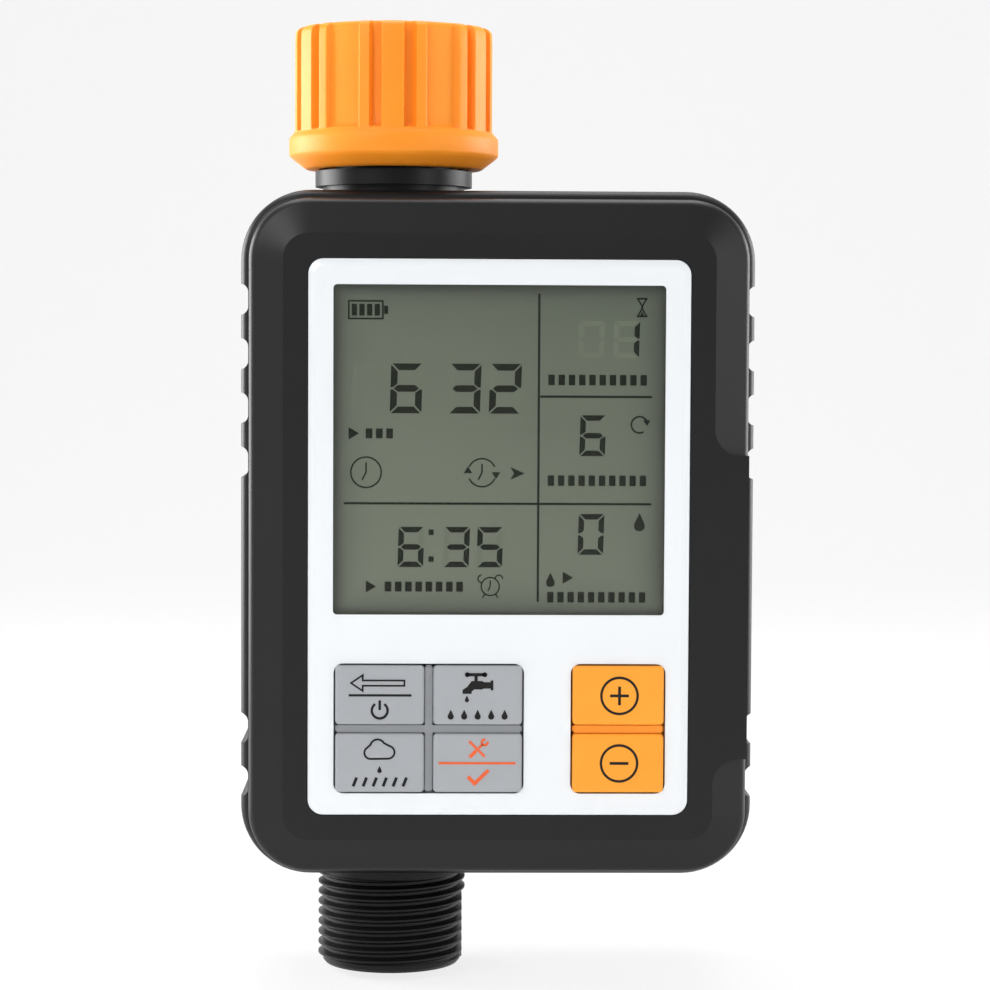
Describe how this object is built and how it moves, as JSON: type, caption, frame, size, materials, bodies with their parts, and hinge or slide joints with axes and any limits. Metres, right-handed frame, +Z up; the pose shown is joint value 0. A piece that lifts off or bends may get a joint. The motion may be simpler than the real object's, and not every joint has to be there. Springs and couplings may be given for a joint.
{
  "type": "drip irrigation timer",
  "caption": "Battery-powered drip irrigation timer with an orange tap nut, a white front with a display and soft keys, and a threaded hose outlet.",
  "frame": {"origin": "centre of the inlet nut's mouth, on the valve's vertical axis", "axes": "+Z up, out of the inlet; the display faces -Y; +X to the right seen from the front"},
  "size_m": [0.0892, 0.0491, 0.1663],
  "materials": {
    "case_plastic": "fine grain",
    "faceplate_white": "gloss",
    "clear_window": "clear",
    "lcd": "satin",
    "white_plastic": "satin",
    "black_rubber": "matt",
    "grey_silicone": "matt",
    "orange_silicone": "matt",
    "steel": "plain",
    "board_green": "satin",
    "chip_black": "matt",
    "aluminium_can": "satin",
    "nut_orange": "satin",
    "cell_jacket": "gloss",
    "spring_plate": "bright",
    "valve_black": "satin",
    "copper_wire": "enamelled",
    "yoke_steel": "zinc plated",
    "magnet_grey": "sintered",
    "brass_nut": "plain"
  },
  "bodies": {
    "case": {"rear_housing": "case_plastic", "front_cover": "case_plastic", "case_gasket": "black_rubber", "case_screws": "steel", "faceplate": "faceplate_white", "lcd_window": "clear_window", "lcd_glass": "lcd", "lcd_holder": "white_plastic", "zebra_strips": "black_rubber", "main_pcb": "board_green", "pcb_screws": "steel", "mcu_chip": "chip_black", "capacitors": "aluminium_can", "crystal": "steel", "battery_connector": "white_plastic", "solenoid_connector": "white_plastic", "keypad_mat_grey": "grey_silicone", "keypad_mat_orange": "orange_silicone", "battery_left": "cell_jacket", "battery_right": "cell_jacket", "battery_springs": "spring_plate", "battery_plates": "spring_plate", "nut_retaining_ring": "steel", "inlet_washer": "black_rubber", "inlet_neck": "valve_black", "inlet_filter": "white_plastic", "neck_clip": "steel", "neck_oring": "black_rubber", "valve_body": "valve_black", "valve_screws": "steel", "outlet_oring": "black_rubber", "diaphragm": "black_rubber", "diaphragm_spring": "spring_plate", "valve_bonnet": "valve_black", "bonnet_screws": "steel", "core_tube": "steel", "solenoid_bobbin": "white_plastic", "solenoid_winding": "copper_wire", "solenoid_yoke": "yoke_steel", "latching_magnet": "magnet_grey", "solenoid_nut": "brass_nut", "plunger_spring": "spring_plate"},
    "nut": {"inlet_nut": "nut_orange"},
    "cover": {"battery_cover": "case_plastic", "battery_cover_seal": "black_rubber"},
    "solenoid_plunger": {"plunger": "steel", "plunger_seal": "black_rubber"},
    "lift_plate": {"diaphragm_plate": "white_plastic"},
    "escape_key": {"key_escape": "grey_silicone", "pill_escape": "black_rubber"},
    "manual_key": {"key_manual": "grey_silicone", "pill_manual": "black_rubber"},
    "delay_key": {"key_delay": "grey_silicone", "pill_delay": "black_rubber"},
    "setup_key": {"key_setup": "grey_silicone", "pill_setup": "black_rubber"},
    "plus_key": {"key_plus": "orange_silicone", "pill_plus": "black_rubber"},
    "minus_key": {"key_minus": "orange_silicone", "pill_minus": "black_rubber"}
  },
  "joints": [
    {"name": "nut_spin", "type": "hinge", "parent": "case", "child": "nut", "pos_m": [0, 0, 0], "axis": [0, 0, 1], "continuous": true},
    {"name": "escape_press", "type": "slide", "parent": "case", "child": "escape_key", "axis": [0, 1, 0], "range_m": [0, 0.001], "stiffness_N_per_m": 800, "springref_m": -0.0005},
    {"name": "manual_press", "type": "slide", "parent": "case", "child": "manual_key", "axis": [0, 1, 0], "range_m": [0, 0.001], "stiffness_N_per_m": 800, "springref_m": -0.0005},
    {"name": "delay_press", "type": "slide", "parent": "case", "child": "delay_key", "axis": [0, 1, 0], "range_m": [0, 0.001], "stiffness_N_per_m": 800, "springref_m": -0.0005},
    {"name": "setup_press", "type": "slide", "parent": "case", "child": "setup_key", "axis": [0, 1, 0], "range_m": [0, 0.001], "stiffness_N_per_m": 800, "springref_m": -0.0005},
    {"name": "plus_press", "type": "slide", "parent": "case", "child": "plus_key", "axis": [0, 1, 0], "range_m": [0, 0.001], "stiffness_N_per_m": 800, "springref_m": -0.0005},
    {"name": "minus_press", "type": "slide", "parent": "case", "child": "minus_key", "axis": [0, 1, 0], "range_m": [0, 0.001], "stiffness_N_per_m": 800, "springref_m": -0.0005},
    {"name": "cover_pull", "type": "slide", "parent": "case", "child": "cover", "axis": [0, 1, 0], "range_m": [0, 0.03]},
    {"name": "plunger_stroke", "type": "slide", "parent": "case", "child": "solenoid_plunger", "axis": [1, 0, 0], "range_m": [0, 0.0018], "stiffness_N_per_m": 150, "springref_m": -0.003, "deforming": ["plunger_spring"]},
    {"name": "diaphragm_lift", "type": "slide", "parent": "case", "child": "lift_plate", "axis": [1, 0, 0], "range_m": [0, 0.002], "stiffness_N_per_m": 120, "springref_m": -0.002, "deforming": ["diaphragm", "diaphragm_spring"]}
  ]
}
